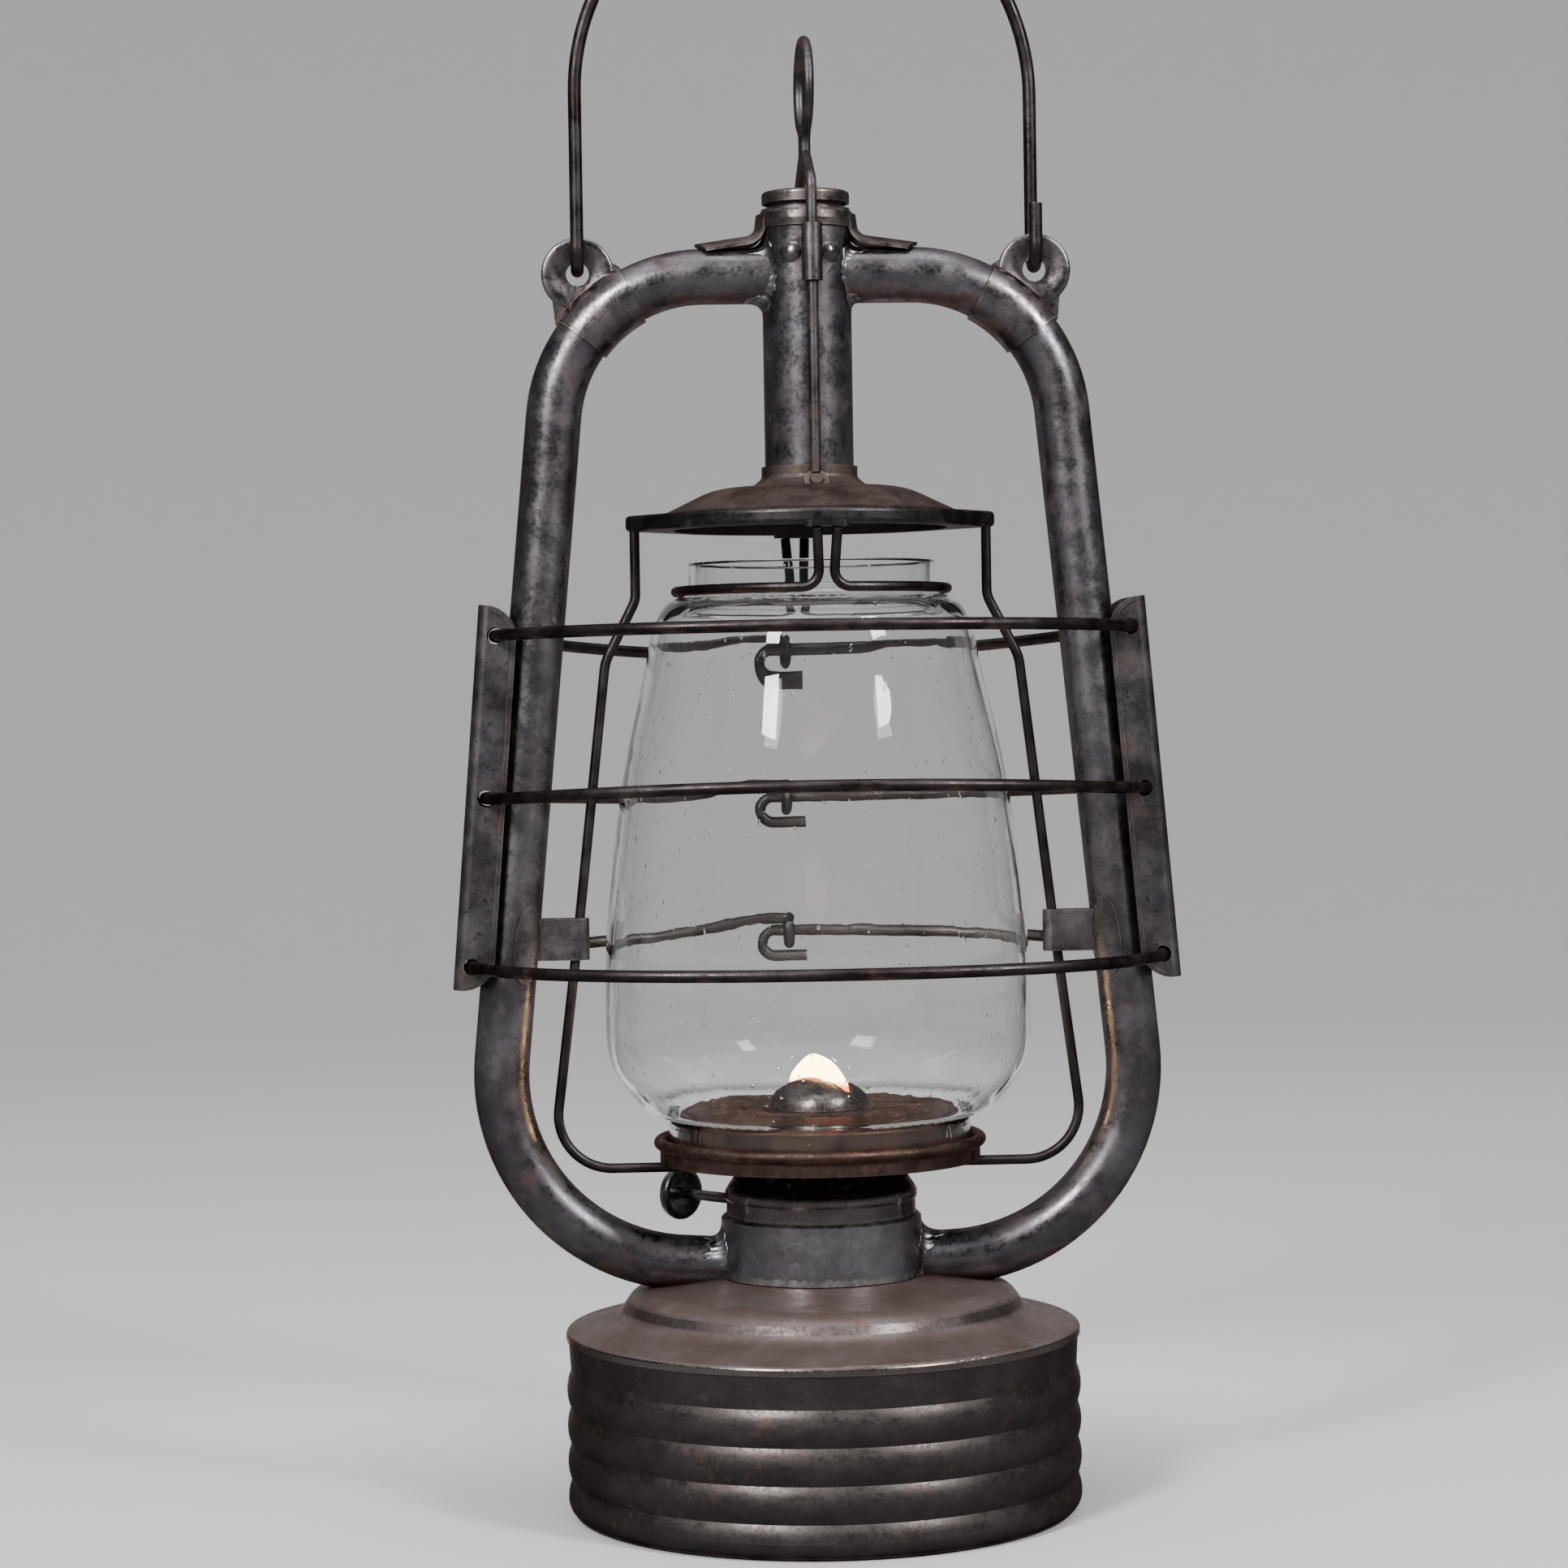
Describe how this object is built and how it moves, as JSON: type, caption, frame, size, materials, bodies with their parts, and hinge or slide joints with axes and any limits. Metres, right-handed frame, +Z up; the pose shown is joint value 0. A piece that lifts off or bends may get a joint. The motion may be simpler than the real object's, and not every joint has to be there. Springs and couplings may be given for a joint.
{
  "type": "barn lantern",
  "caption": "Tubular oil barn lantern with ribbed fount, glass globe in a wire carriage that lifts with the hood, wire guard and swinging bail.",
  "frame": {"origin": "centre of the base, on the surface the lantern stands on", "axes": "+Z up; the side tubes stand in the XZ plane; the front faces -Y; +X is to the right seen from the front"},
  "size_m": [0.1834, 0.13, 0.4165],
  "materials": {
    "tube_steel": "bare oiled steel tube, blue-grey with brown patina",
    "fount_steel": "dark brown-grey patina, satin",
    "fount_top_steel": "worn bare steel with rust-brown patina",
    "collar_steel": "bare oiled steel with soldered edges",
    "gallery_steel": "sooty dark steel",
    "hood_steel": "matt warm brown heat patina",
    "plate_rust": "thin red-brown rust",
    "cone_steel": "heat-tinted bare steel",
    "wire_steel": "dark drawn wire with brown patina",
    "guard_steel": "dark brown sheet steel",
    "knob_black": "black japanned, glossy",
    "spur_brass": "dull brass",
    "globe_glass": "clear blown glass, faint grey-green edges",
    "wick_cotton": "woven cotton, charred at the top",
    "cork": "cork washer"
  },
  "bodies": {
    "frame": {"fount_side": "fount_steel", "fount_bottom": "fount_steel", "fount_top": "fount_top_steel", "filler_neck": "fount_top_steel", "collar": "collar_steel", "burner_base": "gallery_steel", "burner_gallery": "gallery_steel", "wick_tube": "gallery_steel", "side_tube_right": "tube_steel", "side_tube_left": "tube_steel", "centre_tube": "tube_steel", "tube_cap": "tube_steel", "top_saddle": "tube_steel", "bail_ear_right": "tube_steel", "bail_ear_left": "tube_steel", "lift_guide_front": "tube_steel", "lift_guide_rear": "tube_steel", "guide_rivets": "tube_steel", "wire_guide_right": "tube_steel", "wire_guide_left": "tube_steel", "guard_hoop_top": "wire_steel", "guard_hoop_middle": "wire_steel", "guard_hoop_bottom": "wire_steel", "guard_plate_right": "guard_steel", "guard_plate_left": "guard_steel"},
    "carriage": {"lift_wire": "wire_steel", "hood_rivets": "hood_steel", "hood": "hood_steel", "globe": "globe_glass", "globe_plate": "plate_rust", "burner_deck": "plate_rust", "burner_cone": "cone_steel", "side_wire_right": "wire_steel", "side_wire_left": "wire_steel", "globe_clamp_right": "wire_steel", "globe_clamp_left": "wire_steel"},
    "bail": {"bail_handle": "wire_steel"},
    "wick_raiser": {"wick_knob": "knob_black", "knob_shaft": "gallery_steel", "spur_wheels": "spur_brass"},
    "wick_body": {"wick": "wick_cotton"},
    "cap_washer_body": {"cap_washer": "cork"},
    "filler_cap_body": {"filler_cap": "fount_top_steel"}
  },
  "joints": [
    {"name": "globe_lift", "type": "slide", "parent": "frame", "child": "carriage", "axis": [0, 0, 1], "range_m": [0, 0.025]},
    {"name": "bail_swing", "type": "hinge", "parent": "frame", "child": "bail", "pos_m": [0, 0, 0.3184], "axis": [1, 0, 0], "range_deg": [-120, 120]},
    {"name": "knob_turn", "type": "hinge", "parent": "frame", "child": "wick_raiser", "pos_m": [-0.00358, -0.00334, 0.0768], "axis": [0.682, -0.7314, 0], "range_deg": [-157.5, 47.5]},
    {"name": "wick_travel", "type": "slide", "parent": "frame", "child": "wick_body", "axis": [0, 0, 1], "range_m": [-0.01, 0.003]},
    {"name": "washer_rise", "type": "slide", "parent": "frame", "child": "cap_washer_body", "axis": [0, 0, 1], "range_m": [0, 0.004]},
    {"name": "filler_cap_turn", "type": "hinge", "parent": "cap_washer_body", "child": "filler_cap_body", "pos_m": [0, 0.0385, 0.066], "axis": [0, 0, 1], "range_deg": [0, 720.5]}
  ],
  "couplings": [
    {"joint": "knob_turn", "follows": "wick_travel", "rad_per_m": 273.97},
    {"joint": "filler_cap_turn", "follows": "washer_rise", "rad_per_m": 3141.6}
  ]
}
